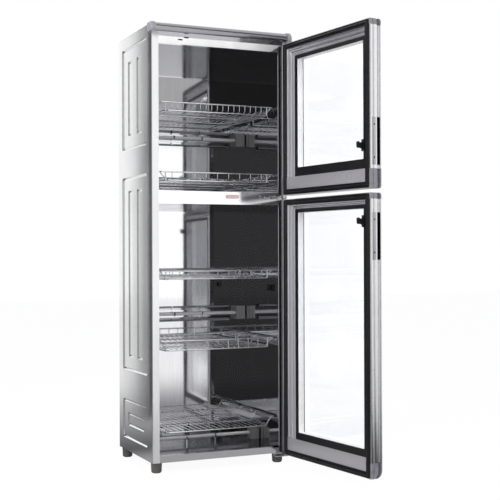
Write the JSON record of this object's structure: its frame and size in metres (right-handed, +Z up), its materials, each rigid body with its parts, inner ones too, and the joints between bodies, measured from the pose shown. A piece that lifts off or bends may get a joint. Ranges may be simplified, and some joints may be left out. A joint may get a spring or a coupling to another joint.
{
  "type": "dish sterilizer cabinet",
  "caption": "Tall infrared dish sterilizer cabinet with upper and lower glass doors hung open, pull-out wire racks, mirror steel liner and pressed steel sides",
  "frame": {"origin": "centre of the base tray's underside, level with its rim and 3 mm below its pressed middle panel, 37 mm above the floor that the feet stand on", "axes": "+Z up, the front of the cabinet faces -Y, the doors hang on the +X side"},
  "size_m": [0.6413, 0.9253, 1.598],
  "materials": {
    "brushed_sheet": "brushed",
    "painted_sheet": "satin",
    "bright_frame": "satin",
    "dark_moulding": "satin",
    "silver_plastic": "satin",
    "mirror_liner": "polished",
    "quartz": "clear",
    "coil": "matte",
    "ceramic": "matte",
    "hinge_steel": "satin",
    "foot_plastic": "matte",
    "black_plastic": "matte",
    "door_aluminium": "satin",
    "door_panel": "satin",
    "pane": "clear",
    "seal_rubber": "matte",
    "white_bush": "matte",
    "chrome_wire": "polished"
  },
  "bodies": {
    "cabinet": {"left_side_panel": "brushed_sheet", "right_side_panel": "brushed_sheet", "back_panel": "painted_sheet", "top_panel": "brushed_sheet", "base_tray": "painted_sheet", "left_stile": "bright_frame", "right_stile": "bright_frame", "header_rail": "bright_frame", "middle_rail": "bright_frame", "bottom_rail": "bright_frame", "top_moulding": "dark_moulding", "moulding_end_caps": "silver_plastic", "liner_walls": "mirror_liner", "liner_decks": "mirror_liner", "rack_runners": "mirror_liner", "quartz_tubes": "quartz", "heater_coils": "coil", "ceramic_holders": "ceramic", "heater_clips": "mirror_liner", "heater_reflectors": "mirror_liner", "top_hinge_bracket": "hinge_steel", "middle_hinge_bracket": "hinge_steel", "bottom_hinge_bracket": "hinge_steel", "hinge_pins": "hinge_steel", "feet": "foot_plastic", "rail_plug": "silver_plastic", "thermostat": "black_plastic", "cord_gland": "black_plastic", "door_catches": "black_plastic"},
    "upper_door": {"upper_door_hinge_stile": "door_aluminium", "upper_door_handle_stile": "door_aluminium", "upper_door_rails": "door_panel", "upper_door_glass": "pane", "upper_door_glazing_bead": "black_plastic", "upper_door_gasket": "seal_rubber", "upper_door_end_caps": "silver_plastic", "upper_door_handle_insert": "black_plastic", "upper_door_latch_hook": "black_plastic", "upper_door_bushes": "white_bush"},
    "lower_door": {"lower_door_hinge_stile": "door_aluminium", "lower_door_handle_stile": "door_aluminium", "lower_door_rails": "door_panel", "lower_door_glass": "pane", "lower_door_glazing_bead": "black_plastic", "lower_door_gasket": "seal_rubber", "lower_door_end_caps": "silver_plastic", "lower_door_handle_insert": "black_plastic", "lower_door_latch_hook": "black_plastic", "lower_door_bushes": "white_bush"},
    "glass_rack": {"glass_rack_grid": "chrome_wire", "glass_rack_frame": "chrome_wire"},
    "upper_plate_rack": {"upper_plate_rack_grid": "chrome_wire", "upper_plate_rack_frame": "chrome_wire"},
    "lower_plate_rack": {"lower_plate_rack_grid": "chrome_wire", "lower_plate_rack_frame": "chrome_wire"},
    "bowl_rack": {"bowl_rack_grid": "chrome_wire", "bowl_rack_frame": "chrome_wire"},
    "bottom_rack": {"bottom_rack_grid": "chrome_wire", "bottom_rack_frame": "chrome_wire"}
  },
  "joints": [
    {"name": "upper_door_hinge", "type": "hinge", "parent": "cabinet", "child": "upper_door", "pos_m": [0.258, -0.207, 1.238], "axis": [0, 0, 1], "range_deg": [-97, 13]},
    {"name": "lower_door_hinge", "type": "hinge", "parent": "cabinet", "child": "lower_door", "pos_m": [0.258, -0.207, 0.468], "axis": [0, 0, 1], "range_deg": [-97, 13]},
    {"name": "glass_rack_slide", "type": "slide", "parent": "cabinet", "child": "glass_rack", "axis": [0, -1, 0], "range_m": [0, 0.2]},
    {"name": "upper_plate_rack_slide", "type": "slide", "parent": "cabinet", "child": "upper_plate_rack", "axis": [0, -1, 0], "range_m": [0, 0.2]},
    {"name": "lower_plate_rack_slide", "type": "slide", "parent": "cabinet", "child": "lower_plate_rack", "axis": [0, -1, 0], "range_m": [0, 0.2]},
    {"name": "bowl_rack_slide", "type": "slide", "parent": "cabinet", "child": "bowl_rack", "axis": [0, -1, 0], "range_m": [0, 0.2]},
    {"name": "bottom_rack_slide", "type": "slide", "parent": "cabinet", "child": "bottom_rack", "axis": [0, -1, 0], "range_m": [0, 0.2]}
  ]
}
